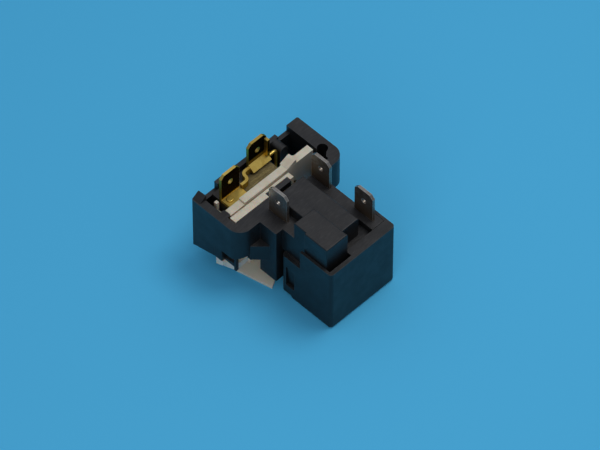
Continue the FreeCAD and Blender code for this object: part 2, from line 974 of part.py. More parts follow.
def under_base():
    """The space below the protector's base."""
    x0 = pocket_x0
    x1 = pocket_x1 + OVER
    outline = [
        (x0, -OVER),
        (x1, -OVER),
        (x1, underside(x1, base_lift) - base_gap),
        (x0, underside(x0, base_lift) - base_gap),
    ]
    return prism(outline, wing_y0, wing_y1, "Y")


def foot_plate():
    """The thin foot under the neck, whose outer edge runs askew, on its leg behind the nose."""
    turn = math.radians(foot_plate_angle)
    x = foot_plate_x
    y = wing_y0 + foot_plate_setback
    end_x = x + foot_plate_length * math.cos(turn)
    end_y = y + foot_plate_length * math.sin(turn)
    plate = prism(
        [
            (x, y),
            (end_x, end_y),
            (end_x - OVER, end_y + foot_plate_lean),
            (x + foot_plate_lean, y + foot_plate_depth),
            (x - foot_plate_lean, y + foot_plate_depth),
            (x - foot_plate_lean, y + foot_plate_lean),
        ],
        0,
        foot_plate_thickness,
    )
    x1 = pocket_x1 - rib_width - base_gap
    near = wing_y0 + leg_setback
    top = wing_foot + nose_length
    leg = box(x1 - leg_width, x1, near, near + leg_length, 0, top)
    arm = box(
        x1 - leg_width, x1, wing_y0 + nose_length - OVER, near + OVER,
        wing_foot + nose_back_height - leg_arm_height, top,
    )
    return plate.fuse(leg.fuse(arm).common(under_base()))


def insulator_carrier():
    return carrier_bars().fuse([carrier_nose(), near_post(), foot_plate()]).removeSplitter()


# Protector

def protector_base():
    """The phenolic base, whose underside lies along the slope."""
    x0 = pocket_x0 + base_gap
    x1 = pocket_x1 - base_gap
    outline = [
        (x0, underside(x0, base_lift + part_gap)),
        (x1, underside(x1, base_lift + part_gap)),
        (x1, base_shoulder),
        (x0, base_shoulder),
    ]
    block = prism(outline, base_near, base_far, "Y")
    tower = box(
        x0, bar_x0 - base_gap, base_near, far_blade_y + base_top_overhang,
        base_shoulder - OVER, base_top,
    )
    holes = [
        on_slope(drum(0, protector_y, 0, base_lift + shank_length, stud_diameter + 2 * part_gap))
    ]
    for side in (-1, 1):
        y = protector_y + side * contact_offset
        hole = drum(0, y, 0, base_lift + shank_length, shank_diameter + 2 * part_gap)
        holes.append(on_slope(hole))
    holes.append(
        drum(rivet_x, rivet_y, base_top - shank_length, base_top + OVER, shank_diameter + 2 * part_gap)
    )
    holes.append(grown(*far_leg_slot()))
    return block.fuse(tower).cut(holes).removeSplitter()


def protector_case():
    """The steel cup under the base, which lies against the compressor's shell."""
    outer = drum(0, protector_y, base_lift - case_height, base_lift, case_diameter)
    foot = base_lift - case_height
    rim = [e for e in outer.Edges if len(e.Vertexes) == 1 and abs(e.Vertexes[0].Z - foot) < 1e-4]
    outer = outer.makeFillet(case_radius, rim)
    inner = drum(
        0, protector_y, base_lift - case_height + case_wall, base_lift + OVER,
        case_diameter - 2 * case_wall,
    )
    return on_slope(outer.cut(inner))


def disc_level(radius):
    """Height of the domed disc's lower face at a radius."""
    return disc_height + disc_rise * (1 - (2 * radius / disc_diameter) ** 2)


def bimetal_disc():
    edge = disc_diameter / 2
    bore = stud_diameter / 2 + part_gap
    radii = [bore + (edge - bore) * i / 6 for i in range(7)]
    lower = [(r, disc_level(r)) for r in radii]
    upper = [(r, disc_level(r) + disc_thickness) for r in reversed(radii)]
    return on_slope(turned(lower + upper, 0, protector_y))


def moving_contact(side):
    y = protector_y + side * contact_offset
    foot = disc_level(contact_offset - contact_diameter / 2) + disc_thickness + part_gap
    return on_slope(drum(0, y, foot, foot + contact_thickness, contact_diameter))


def fixed_contact(side):
    """A contact button whose shank is set in the base."""
    y = protector_y + side * contact_offset
    head = drum(0, y, base_lift - contact_thickness, base_lift, contact_diameter)
    shank = drum(0, y, base_lift - part_gap, base_lift + shank_length - part_gap, shank_diameter)
    return on_slope(head.fuse(shank).removeSplitter())


def centre_stud():
    top = base_lift + shank_length - part_gap
    foot = disc_level(stud_diameter) - stud_head - part_gap
    shank = drum(0, protector_y, foot, top, stud_diameter)
    head = drum(0, protector_y, foot, foot + stud_head, 2 * stud_diameter)
    return on_slope(shank.fuse(head).removeSplitter())


# Brass parts

def side_blade(x, y, base, tip):
    """A blade whose faces look along X, with its two clipped corners and its hole."""
    half = blade_width / 2
    outline = [
        (y - half, base),
        (y + half, base),
        (y + half, tip - blade_chamfer),
        (y + half - blade_chamfer, tip),
        (y - half + blade_chamfer, tip),
        (y - half, tip - blade_chamfer),
    ]
    plate = prism(outline, x, x + blade_thickness, "X")
    hole = Part.makeCylinder(
        blade_hole / 2, blade_thickness + 2 * OVER,
        Vector(x - OVER, y, tip - blade_hole_drop), Vector(1, 0, 0),
    )
    return plate.cut(hole)


def near_brass_blade():
    foot_z = base_top + part_gap
    blade = side_blade(near_blade_x, near_blade_y, foot_z, brass_tip)
    half = blade_width / 2
    foot = box(
        near_blade_x, bar_x0 - base_gap, near_blade_y - half, near_blade_y + half,
        foot_z, foot_z + blade_thickness,
    )
    hole = drum(rivet_x, rivet_y, foot_z - OVER, foot_z + 2 * OVER, shank_diameter + 2 * part_gap)
    bent = blade.fuse(foot).removeSplitter()
    bend = [
        e for e in bent.Edges
        if all(abs(v.X - near_blade_x) < 1e-4 and abs(v.Z - foot_z) < 1e-4 for v in e.Vertexes)
    ]
    return bent.makeFillet(blade_thickness * 0.9, bend).cut(hole)


def far_leg_slot():
    """The narrow tongue below the far blade, which sits in the base."""
    return (
        far_blade_x, far_blade_x + blade_thickness,
        far_blade_y - far_leg_width / 2, far_blade_y + far_leg_width / 2,
        base_top - far_leg_length, base_top + part_gap,
    )


def far_brass_blade():
    """The far blade with its slanting foot, its tongue in the base and its bent-in flange."""
    half = blade_width / 2
    bend_z = base_top + far_foot_height
    blade = side_blade(far_blade_x, far_blade_y, bend_z - blade_thickness, brass_tip)
    toe_x = far_blade_x + far_foot_reach
    toe_z = base_top + part_gap + blade_thickness * 0.7
    foot = strip(
        [(far_blade_x + blade_thickness / 2, bend_z), (toe_x, toe_z)],
        blade_thickness, far_blade_y - half, far_blade_y + half, "Y",
    )
    leg = far_leg_slot()
    tongue = box(leg[0], leg[1], leg[2], leg[3], leg[4], bend_z)
    flange = box(
        far_blade_x, far_blade_x + flange_length, far_blade_y + half - blade_thickness,
        far_blade_y + half, bend_z, brass_tip - blade_chamfer - flange_inset,
    )
    return blade.fuse([foot, tongue, flange]).removeSplitter()


def heater_strip():
    """The S-shaped ribbon on edge between the two brass blades."""
    radius = (ribbon_near_x - ribbon_far_x) / 2
    middle_x = (ribbon_near_x + ribbon_far_x) / 2
    middle_y = (near_blade_y + far_blade_y) / 2
    y0 = near_blade_y + blade_width / 2 + part_gap
    y1 = far_blade_y - blade_width / 2 - part_gap
    points = [(ribbon_near_x, y0)]
    for i in range(ribbon_steps + 1):
        turn = math.pi / 2 * i / ribbon_steps
        x = middle_x + radius * math.cos(turn)
        points.append((x, middle_y - radius + radius * math.sin(turn)))
    for i in range(1, ribbon_steps + 1):
        turn = math.pi / 2 * i / ribbon_steps
        x = middle_x - radius * math.sin(turn)
        points.append((x, middle_y + radius - radius * math.cos(turn)))
    points.append((ribbon_far_x, y1))
    foot = base_top + part_gap
    return strip(points, ribbon_thickness, foot, foot + ribbon_height, "Z")


def near_blade_rivet():
    foot_z = base_top + part_gap + blade_thickness
    shank = drum(rivet_x, rivet_y, base_top - shank_length + part_gap, foot_z + part_gap, shank_diameter)
    head = drum(
        rivet_x, rivet_y, foot_z + part_gap, foot_z + part_gap + rivet_head_height, rivet_head_diameter
    )
    top = foot_z + part_gap + rivet_head_height
    rim = [e for e in head.Edges if len(e.Vertexes) == 1 and abs(e.Vertexes[0].Z - top) < 1e-4]
    return shank.fuse(head.makeFillet(rivet_head_height * 0.6, rim)).removeSplitter()


def heater_hook():
    """The wire end that leaves the far blade's edge and turns down on to the base's shoulder."""
    y0 = far_blade_y + blade_width / 2 + part_gap
    y1 = stop_block_near - base_gap - hook_wire / 2 - part_gap
    bend = hook_wire * 0.8
    hook_top = wing_top - hook_drop
    start = Vector(hook_x, y0, hook_top)
    turn_in = Vector(hook_x, y1 - bend, hook_top)
    turn_out = Vector(hook_x, y1, hook_top - bend)
    short = bend * (1 - math.sqrt(0.5))
    halfway = Vector(hook_x, y1 - short, hook_top - short)
    path = Part.Wire([
        Part.LineSegment(start, turn_in).toShape(),
        Part.Arc(turn_in, halfway, turn_out).toShape(),
        Part.LineSegment(turn_out, Vector(hook_x, y1, base_shoulder + part_gap)).toShape(),
    ])
    section = Part.Wire(Part.makeCircle(hook_wire / 2, start, Vector(0, 1, 0)))
    return path.makePipeShell([section], True, False)


def build():
    os.makedirs("parts", exist_ok=True)
    save("main_housing", main_housing())
    save("lower_cup", lower_cup())
    save("insulator_carrier", insulator_carrier())
    save("protector_base", protector_base())
    save("protector_case", protector_case())
    save("bimetal_disc", bimetal_disc())
    save("centre_stud", centre_stud())
    for name, side in (("near", -1), ("far", 1)):
        save(name + "_fixed_contact", fixed_contact(side))
        save(name + "_moving_contact", moving_contact(side))
    save("near_brass_blade", near_brass_blade())
    save("far_brass_blade", far_brass_blade())
    save("near_blade_rivet", near_blade_rivet())
    save("heater_strip", heater_strip())
    save("heater_hook", heater_hook())
    save("near_terminal", near_terminal())
    save("middle_terminal", middle_terminal())
    save("far_terminal", far_terminal())
    save("start_pin_socket", start_pin_socket())
    save("run_pin_socket", run_pin_socket())
    save("common_pin_socket", common_pin_socket())
    save("common_jumper", common_jumper())
    save("ptc_pill", ptc_pill())
    save("inner_pill_spring", inner_pill_spring())
    save("outer_pill_spring", outer_pill_spring())
    save("insulating_sheet", insulating_sheet())


build()
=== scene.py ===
import math

import bmesh
import bpy
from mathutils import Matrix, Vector


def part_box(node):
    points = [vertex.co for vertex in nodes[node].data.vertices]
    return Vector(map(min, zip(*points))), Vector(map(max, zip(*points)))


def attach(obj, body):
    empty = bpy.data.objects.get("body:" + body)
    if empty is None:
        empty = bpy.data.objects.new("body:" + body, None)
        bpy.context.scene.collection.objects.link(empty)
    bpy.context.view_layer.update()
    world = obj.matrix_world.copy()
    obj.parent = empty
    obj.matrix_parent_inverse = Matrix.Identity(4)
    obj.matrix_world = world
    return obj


# The camera, as the photograph was taken: degrees, millimetres of lens and film, and metres
azimuth = 45.0
elevation = 52.0
lens = 360.0
film_width = 36.0
camera_distance = 1.5
clip_near = 0.1
clip_far = 10.0
look_at = (-0.00065, -0.00030, 0.0140)

# The sky's colours overhead and at the sides, and the heights between which they blend
sky_top = (0.42, 0.45, 0.51)
sky_side = (0.045, 0.060, 0.075)
sky_low = 0.15
sky_high = 0.85

# The two lamps, in metres and watts
lamp_aim = (0, 0, 0.01)
key_place = (0.06, 0.14, 0.46)
key_size = 0.22
key_power = 0.585
key_colour = (1.0, 0.98, 0.95)
fill_place = (0.22, -0.36, 0.26)
fill_size = 0.26
fill_power = 0.32
fill_colour = (1.0, 0.98, 0.94)

# The floor: the colour that is seen, and the colour that it throws on the object
floor_half = 1.2
floor_seen = (0.096, 0.545, 0.910)
floor_bounce = (0.054, 0.323, 0.590)
floor_roughness = 0.9
floor_gloss = 0.1

# Rounds on the edges of the pieces, in metres, and the angle in degrees from which a corner is one
moulded_edge = 0.00013
soft_edge = 0.00024
stamped_edge = 0.00007
edge_angle = 32.0
edge_segments = 2

# Heights above which the two brass blades' inner flats carry a painted dark reflection, in millimetres
near_bend = 22.35
far_bend = 24.85
bend_blur = 0.3

# Where painted shade on the phenolic base's near end and outer edge ends, in millimetres
board_shade_x = -16.6
board_shade_y = -12.6
board_shade_blur = 0.6

# Painted shade, bluish from the floor, on the insulator's inner side, in millimetres along Y
inner_shade_start = 3.5
inner_shade_length = 5.0

# Below this height the insulator is painted lighter, a painted light on its low plate, in millimetres,
# and this is how far that fades out
low_light_top = 10.0
low_light_fade = 4.0

# Brown stain at the foot of the tinned tabs, in millimetres up from the floor
tin_stain_foot = 23.5
stain_height = 5.0

# Black plastics
housing_dark = (0.017, 0.017, 0.018)
housing_light = (0.026, 0.025, 0.025)
housing_rubbed = (0.080, 0.080, 0.082)
cup_dark = (0.015, 0.016, 0.017)
cup_light = (0.023, 0.023, 0.024)
cup_rubbed = (0.080, 0.080, 0.080)
dust_colour = (0.16, 0.15, 0.14)
# Share of the colour that the sides keep: painted shade on the sides
side_shade = 0.55
dust_share = 0.35
rub_share = 0.30
black_edge_reach = 0.00022
black_gloss = 0.41

# Off-white plastic
insulator_light = (0.75, 0.68, 0.54)
insulator_yellow = (0.67, 0.58, 0.43)
# Colour of the painted light on the insulator's low plate
insulator_lit_low = (0.98, 0.87, 0.72)
# Colour of grime and painted shade in the insulator's crevices
insulator_grime_and_shade = (0.46, 0.37, 0.28)
# Colour of the painted shade on the insulator's inner side
insulator_inner_shade = (0.13, 0.16, 0.18)
insulator_speck = (0.30, 0.24, 0.18)
insulator_crevice_reach = 0.0012
insulator_crevice_share = 0.35
inner_shade_share = 0.6
speck_share = 0.6
glow_share = 0.25
glow_depth = 0.0012

# Phenolic board
board_dark = (0.150, 0.108, 0.028)
board_light = (0.29, 0.226, 0.080)
board_streak = (0.085, 0.062, 0.022)
# Colour of grime and painted shade in the board's crevices
board_grime_and_shade = (0.02, 0.015, 0.01)
board_crevice_reach = 0.0015
board_crevice_share = 0.8
# Colour of the painted shade at the board's near end and outer edge
board_shade_colour = (0.014, 0.012, 0.010)

# Metals: bright colour, dull colour, and the roughness of each
brass_bright = (0.85, 0.61, 0.15)
brass_dull = (0.62, 0.43, 0.10)
brass_rough = (0.32, 0.52)
# Near-black colour of the blades' inner flats: a painted dark reflection
brass_dark_reflection = (0.009, 0.010, 0.009)
brass_edge_tint = (0.24, 0.22, 0.14)
# How strongly the painted shade darkens the brass's crevices
brass_crevice_share = 0.25
# Near blade a lighter and far blade a darker copy of one brass: painted light and shade
near_brass_lit_share = 1.08
far_brass_shaded_share = 0.82
tin = ((0.36, 0.345, 0.32), (0.20, 0.165, 0.13), (0.26, 0.46))
tin_stain = (0.22, 0.155, 0.105)
# How much lighter the tinned tabs' edges are, and how far that reaches: a painted highlight
tin_edge_glint = 2.5
tin_glint_reach = 0.00025
tin_metallic = 0.84
socket_brass = ((0.76, 0.60, 0.30), (0.50, 0.38, 0.18), (0.25, 0.45))
case_steel = ((0.56, 0.56, 0.55), (0.34, 0.33, 0.32), (0.3, 0.5))
contact_silver = ((0.86, 0.85, 0.82), (0.66, 0.64, 0.60), (0.25, 0.4))
# Reach and darkness of the painted shade in the metals' crevices
metal_crevice_reach = 0.001
metal_crevice_shade = 0.25
# How fully the painted dark reflection covers the blades' inner flats
dark_reflection_share = 0.97
worn_share = 0.7

# Starting disc and film
ceramic_dark = (0.34, 0.33, 0.31)
ceramic_light = (0.50, 0.48, 0.45)
film_dark = (0.52, 0.42, 0.24)
film_light = (0.66, 0.56, 0.36)

# Depths of the bumps, in metres
black_grain_depth = 0.000012
black_scuff_depth = 0.000006
white_grain_depth = 0.00001
white_wave_depth = 0.00006
board_mottle_depth = 0.00003
board_streak_depth = 0.00004
drawn_mark_depth = 0.000002
metal_wave_depth = 0.00001
ceramic_grain_depth = 0.00002
film_fibre_depth = 0.00001

# Millimetres in a metre, for places on the object
millimetres = 1000

# Rays that the worn edges and the crevices are found with
edge_samples = 6
crevice_samples = 8

# Sockets of a Mix node that carry colours, which share their names with the number ones
mix_first = 6
mix_second = 7
mix_result = 2

# Stretches of the noise, which draws marks out along one axis
marks_along_y = (1, 0.12, 1)
streaks_along_y = (1, 0.08, 1)
fibres_along_y = (1, 0.2, 1)
brass_marks = (1, 1, 0.15)
tin_marks = (1, 1, 0.12)

# Small forms: how far they stand off a flush face, and how far they reach into the solid, in metres
flush_gap = 0.00003
form_hold = 0.0003

# The wing's near wall and the skirt below it, in metres and degrees
shell_slope = 25.5
wing_foot = 0.0049
wing_top = 0.0231
notch_x0 = -0.0125
notch_top = 0.0117
skirt_start = 0.0005
skirt_end = -0.0100
skirt_foot = 0.0073
skirt_depth = 0.0020

# The wall's raised corner
ramp_depth = 0.00265
ramp_rise = 0.0014
ramp_far_rise = 0.0017
ramp_length = 0.0027

# The hump on the insulator's main bar
hump_x0 = -0.0130
hump_x1 = -0.01028
hump_y0 = 0.0048
hump_y1 = 0.0081
hump_flat = 0.0007
hump_rise = 0.0012

# The lip beside the insulator's nose
lip_x0 = -0.0066
lip_y0 = -0.0177
lip_width = 0.0007
lip_depth = 0.0010
lip_foot = 0.0074
lip_slant = 2 * lip_width

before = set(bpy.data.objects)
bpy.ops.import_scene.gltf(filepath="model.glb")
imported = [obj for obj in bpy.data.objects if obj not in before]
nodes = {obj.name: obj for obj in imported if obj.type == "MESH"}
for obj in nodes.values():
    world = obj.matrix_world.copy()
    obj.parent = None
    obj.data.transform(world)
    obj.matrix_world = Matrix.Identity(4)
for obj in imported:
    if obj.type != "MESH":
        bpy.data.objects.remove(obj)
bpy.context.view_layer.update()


# Node helpers

def start_material(name):
    material = bpy.data.materials.new(name)
    material.use_nodes = True
    tree = material.node_tree
    shader = tree.nodes["Principled BSDF"]
    return material, tree, shader


def object_point(tree, stretch=(1, 1, 1)):
    """The place on the object in millimetres, stretched for brushed or drawn marks."""
    place = tree.nodes.new("ShaderNodeTexCoord")
    mapping = tree.nodes.new("ShaderNodeMapping")
    mapping.inputs["Scale"].default_value = [millimetres * s for s in stretch]
    tree.links.new(place.outputs["Object"], mapping.inputs["Vector"])
    return mapping.outputs["Vector"]


def noise(tree, point, size, detail=3.0, roughness=0.55):
    """Noise whose patches are about the given size in millimetres."""
    node = tree.nodes.new("ShaderNodeTexNoise")
    node.inputs["Scale"].default_value = 1 / size
    node.inputs["Detail"].default_value = detail
    node.inputs["Roughness"].default_value = roughness
    tree.links.new(point, node.inputs["Vector"])
    return node.outputs["Fac"]


def spread(tree, value, low, high, out_low=0.0, out_high=1.0):
    """Maps low to high on to out_low to out_high, and holds the ends."""
    node = tree.nodes.new("ShaderNodeMapRange")
    node.inputs["From Min"].default_value = low
    node.inputs["From Max"].default_value = high
    node.inputs["To Min"].default_value = out_low
    node.inputs["To Max"].default_value = out_high
    tree.links.new(value, node.inputs["Value"])
    return node.outputs["Result"]


def mixed(tree, amount, first, second):
    """A colour between two colours or colour outputs."""
    node = tree.nodes.new("ShaderNodeMix")
    node.data_type = "RGBA"
    tree.links.new(amount, node.inputs[0])
    for socket, value in ((node.inputs[mix_first], first), (node.inputs[mix_second], second)):
        if isinstance(value, tuple):
            socket.default_value = (*value, 1)
        else:
            tree.links.new(value, socket)
    return node.outputs[mix_result]


def arithmetic(tree, operation, first, second):
    """The result of one operation on two outputs, or on an output and a number."""
    node = tree.nodes.new("ShaderNodeMath")
    node.operation = operation
    for socket, value in zip(node.inputs, (first, second)):
        if isinstance(value, float):
            socket.default_value = value
        else:
            tree.links.new(value, socket)
    return node.outputs[0]


def product(tree, first, second):
    return arithmetic(tree, "MULTIPLY", first, second)


def coordinate(tree, vector, axis):
    parts = tree.nodes.new("ShaderNodeSeparateXYZ")
    tree.links.new(vector, parts.inputs[0])
    return parts.outputs[axis]


def along(tree, point, axis, low, high):
    """Rises from zero to one between two places on an axis of the object, in millimetres."""
    return spread(tree, coordinate(tree, point, axis), low, high)


def facing(tree, axis, low, high):
    """Rises from zero to one as the face turns towards an axis."""
    geometry = tree.nodes.new("ShaderNodeNewGeometry")
    return spread(tree, coordinate(tree, geometry.outputs["Normal"], axis), low, high)


def facing_up(tree):
    return facing(tree, "Z", low=0.4, high=0.95)


def facing_inward(tree):
    """One on faces that look along plus X, such as the inner flats of the two brass blades."""
    return facing(tree, "X", low=0.75, high=0.97)


def worn_edge(tree, radius, low=0.75, high=0.98):
    """One on the edges and zero on the flats, from how far a rounded normal turns."""
    bevel = tree.nodes.new("ShaderNodeBevel")
    bevel.samples = edge_samples
    bevel.inputs["Radius"].default_value = radius
    geometry = tree.nodes.new("ShaderNodeNewGeometry")
    dot = tree.nodes.new("ShaderNodeVectorMath")
    dot.operation = "DOT_PRODUCT"
    tree.links.new(bevel.outputs["Normal"], dot.inputs[0])
    tree.links.new(geometry.outputs["True Normal"], dot.inputs[1])
    return spread(tree, dot.outputs["Value"], low, high, out_low=1.0, out_high=0.0)


def crevice(tree, reach):
    """One deep in a corner and zero on an open face."""
    shade = tree.nodes.new("ShaderNodeAmbientOcclusion")
    shade.samples = crevice_samples
    shade.inputs["Distance"].default_value = reach
    return spread(tree, shade.outputs["AO"], low=0.35, high=0.95, out_low=1.0, out_high=0.0)


def scaled(colour, share, top=math.inf):
    return tuple(min(top, part * share) for part in colour)


def roughened(tree, shader, patches, smooth, rough):
    """Lets the roughness wander between two values with the patches."""
    roughness = spread(tree, patches, low=0.3, high=0.7, out_low=smooth, out_high=rough)
    tree.links.new(roughness, shader.inputs["Roughness"])


def bumped(tree, shader, heights):
    """Adds bumps, each a height output with its depth in metres, to the shader's normal."""
    last = None
    for height, depth in heights:
        bump = tree.nodes.new("ShaderNodeBump")
        bump.inputs["Distance"].default_value = depth
        tree.links.new(height, bump.inputs["Height"])
        if last:
            tree.links.new(last, bump.inputs["Normal"])
        last = bump.outputs["Normal"]
    tree.links.new(last, shader.inputs["Normal"])


# Materials

def black_plastic(name, dark, light, rubbed):
    """Moulded black plastic with a fine grain, dusty flats on top, paler rubbed edges, and sides painted
    darker than the tops as painted shade.
    """
    material, tree, shader = start_material(name)
    point = object_point(tree)
    patches = noise(tree, point, size=3.5, detail=4.0)
    grain = noise(tree, point, size=0.11, detail=2.0)
    scuffs = noise(tree, object_point(tree, marks_along_y), size=0.25, detail=3.0)
    body = mixed(tree, spread(tree, patches, low=0.35, high=0.7), dark, light)
    # Sides darker than the tops: painted shade
    body = mixed(tree, facing_up(tree), scaled(dark, side_shade), body)

    specks = noise(tree, point, size=0.35, detail=5.0, roughness=0.7)
    dust = product(tree, spread(tree, specks, low=0.66, high=0.74), facing_up(tree))
    body = mixed(tree, product(tree, dust, dust_share), body, dust_colour)

    scuffed = product(tree, spread(tree, scuffs, low=0.5, high=0.72), facing_up(tree))
    body = mixed(tree, product(tree, scuffed, rub_share), body, rubbed)

    wear = spread(tree, patches, low=0.3, high=0.6, out_low=0.35, out_high=0.9)
    body = mixed(tree, product(tree, worn_edge(tree, black_edge_reach), wear), body, rubbed)
    tree.links.new(body, shader.inputs["Base Color"])
    shader.inputs["Specular IOR Level"].default_value = black_gloss
    roughened(tree, shader, patches, smooth=0.36, rough=0.50)
    bumped(tree, shader, [(grain, black_grain_depth), (scuffs, black_scuff_depth)])
    return material


def white_plastic(name):
    """Off-white moulded plastic, yellower in patches, with grime and painted shade in its grooves,
    painted light on its low plate and painted shade on its inner side.
    """
    material, tree, shader = start_material(name)
    point = object_point(tree)
    patches = noise(tree, point, size=2.4, detail=4.0)
    grain = noise(tree, point, size=0.14, detail=2.0)
    body = mixed(tree, spread(tree, patches, low=0.38, high=0.68), insulator_light, insulator_yellow)
    # Low plate painted lighter below this height: painted light
    above_low_light = along(tree, point, "Z", low_light_top, low_light_top + low_light_fade)
    body = mixed(tree, above_low_light, insulator_lit_low, body)

    # Crevices darkened towards brown: grime and painted shade
    grime_and_shade = product(tree, crevice(tree, insulator_crevice_reach), insulator_crevice_share)
    body = mixed(tree, grime_and_shade, body, insulator_grime_and_shade)

    # Far stretch of the inner side painted dark blue-grey: painted shade
    far_stretch = along(tree, point, "Y", inner_shade_start, inner_shade_start + inner_shade_length)
    inner_shade = product(tree, facing_inward(tree), far_stretch)
    body = mixed(tree, product(tree, inner_shade, inner_shade_share), body, insulator_inner_shade)

    specks = noise(tree, point, size=0.3, detail=4.0, roughness=0.7)
    specked = product(tree, spread(tree, specks, low=0.68, high=0.76), speck_share)
    body = mixed(tree, specked, body, insulator_speck)
    tree.links.new(body, shader.inputs["Base Color"])
    shader.inputs["Subsurface Weight"].default_value = glow_share
    shader.inputs["Subsurface Scale"].default_value = glow_depth
    roughened(tree, shader, patches, smooth=0.38, rough=0.52)
    bumped(tree, shader, [(grain, white_grain_depth), (patches, white_wave_depth)])
    return material


def phenolic(name):
    """Pressed brown resin board, mottled and slightly glossy, with grime and painted shade in its
    corners and painted shade at two of its sides.
    """
    material, tree, shader = start_material(name)
    point = object_point(tree)
    mottle = noise(tree, point, size=0.5, detail=5.0, roughness=0.65)
    streaks = noise(tree, object_point(tree, streaks_along_y), size=0.35, detail=3.0)
    body = mixed(tree, spread(tree, mottle, low=0.35, high=0.65), board_dark, board_light)
    streaked = spread(tree, streaks, low=0.42, high=0.62, out_low=0.0, out_high=0.7)
    body = mixed(tree, streaked, body, board_streak)

    # Crevices darkened nearly to black: grime and painted shade
    grime_and_shade = product(tree, crevice(tree, board_crevice_reach), board_crevice_share)
    body = mixed(tree, grime_and_shade, body, board_grime_and_shade)

    # Near end and outer edge painted almost black: painted shade
    unshaded_y = along(tree, point, "Y", board_shade_y - board_shade_blur, board_shade_y + board_shade_blur)
    unshaded_x = along(tree, point, "X", board_shade_x - board_shade_blur, board_shade_x + board_shade_blur)
    body = mixed(tree, product(tree, unshaded_x, unshaded_y), board_shade_colour, body)
    tree.links.new(body, shader.inputs["Base Color"])
    roughened(tree, shader, mottle, smooth=0.40, rough=0.58)
    bumped(tree, shader, [(mottle, board_mottle_depth), (streaks, board_streak_depth)])
    return material


def metal(
    name, bright, dull, rough, stretch=(1, 1, 1), grime_and_shade=0.5, dark_reflection=None, bend=0.0,
    edge_tint=(1, 1, 1), stain=None, stain_foot=0.0, wear_and_glint=1.15, worn=0.00012, metallic=1.0,
):
    """Rolled or stamped metal with drawn marks, duller patches, and grime and painted shade in its
    corners.

    A painted dark reflection darkens the faces that look along plus X above the height of the blade's
    bend, on the blades' inner flats. A stain colour fades out upward from its foot. Edges are made
    brighter than the metal: wear, and on the tinned tabs a painted highlight.
    """
    material, tree, shader = start_material(name)
    shader.inputs["Metallic"].default_value = metallic
    shader.inputs["Specular Tint"].default_value = (*edge_tint, 1)
    point = object_point(tree)
    patches = noise(tree, point, size=1.6, detail=5.0, roughness=0.6)
    drawn = noise(tree, object_point(tree, stretch), size=0.12, detail=3.0)
    waves = noise(tree, point, size=2.5, detail=1.0)
    body = mixed(tree, spread(tree, patches, low=0.36, high=0.66), bright, dull)

    # Crevices take a darker copy of the dull colour: painted shade, with some grime
    shaded_crevices = product(tree, crevice(tree, metal_crevice_reach), grime_and_shade)
    body = mixed(tree, shaded_crevices, body, scaled(dull, metal_crevice_shade))
    # Inner flats above the bend painted near black: a painted dark reflection
    if dark_reflection:
        over_bend = along(tree, point, "Z", bend - bend_blur, bend + bend_blur)
        flat = product(tree, facing_inward(tree), over_bend)
        body = mixed(tree, product(tree, flat, dark_reflection_share), body, dark_reflection)
    if stain:
        risen = along(tree, point, "Z", stain_foot, stain_foot + stain_height)
        body = mixed(tree, risen, stain, body)

    # Lighter edges: wear, and on the tinned tabs a painted highlight
    edges = product(tree, worn_edge(tree, worn), worn_share)
    body = mixed(tree, edges, body, scaled(bright, wear_and_glint, top=1.0))
    tree.links.new(body, shader.inputs["Base Color"])
    roughened(tree, shader, patches, *rough)
    bumped(tree, shader, [(drawn, drawn_mark_depth), (waves, metal_wave_depth)])
    return material


def blade_brass(name, bend, share=1.0):
    """Brass of the blades, brighter or duller by a share."""
    return metal(
        name, scaled(brass_bright, share), scaled(brass_dull, share), brass_rough, brass_marks,
        grime_and_shade=brass_crevice_share, dark_reflection=brass_dark_reflection, bend=bend, edge_tint=brass_edge_tint,
    )


def ceramic(name):
    material, tree, shader = start_material(name)
    grain = noise(tree, object_point(tree), size=0.2, detail=4.0)
    body = mixed(tree, spread(tree, grain, low=0.3, high=0.7), ceramic_dark, ceramic_light)
    tree.links.new(body, shader.inputs["Base Color"])
    roughened(tree, shader, grain, smooth=0.5, rough=0.7)
    bumped(tree, shader, [(grain, ceramic_grain_depth)])
    return material


def film(name):
    material, tree, shader = start_material(name)
    fibres = noise(tree, object_point(tree, fibres_along_y), size=0.3, detail=4.0)
    body = mixed(tree, spread(tree, fibres, low=0.3, high=0.7), film_dark, film_light)
    tree.links.new(body, shader.inputs["Base Color"])
    roughened(tree, shader, fibres, smooth=0.4, rough=0.6)
    bumped(tree, shader, [(fibres, film_fibre_depth)])
    return material


# Dressing of the solids

def soften(solid, edge):
    bevel = solid.modifiers.new("edges", "BEVEL")
    bevel.width = edge
    bevel.segments = edge_segments
    bevel.limit_method = "ANGLE"
    bevel.angle_limit = math.radians(edge_angle)
    bevel.harden_normals = True
    bevel.use_clamp_overlap = True


def dress(node, material, edge=0.0):
    """Gives a carried solid its material, and small rounds on its edges."""
    solid = nodes[node]
    solid.data.materials.clear()
    solid.data.materials.append(material)
    if edge:
        soften(solid, edge)


def dress_plastics():
    housing = black_plastic("housing_plastic", housing_dark, housing_light, housing_rubbed)
    cup = black_plastic("cup_plastic", cup_dark, cup_light, cup_rubbed)
    dress("main_housing", housing, moulded_edge)
    dress("lower_cup", cup, moulded_edge)
    dress("insulator_carrier", white_plastic("insulator_plastic"), soft_edge)
    dress("protector_base", phenolic("phenolic_board"), moulded_edge)
    dress("ptc_pill", ceramic("disc_ceramic"))
    dress("insulating_sheet", film("insulating_film"))


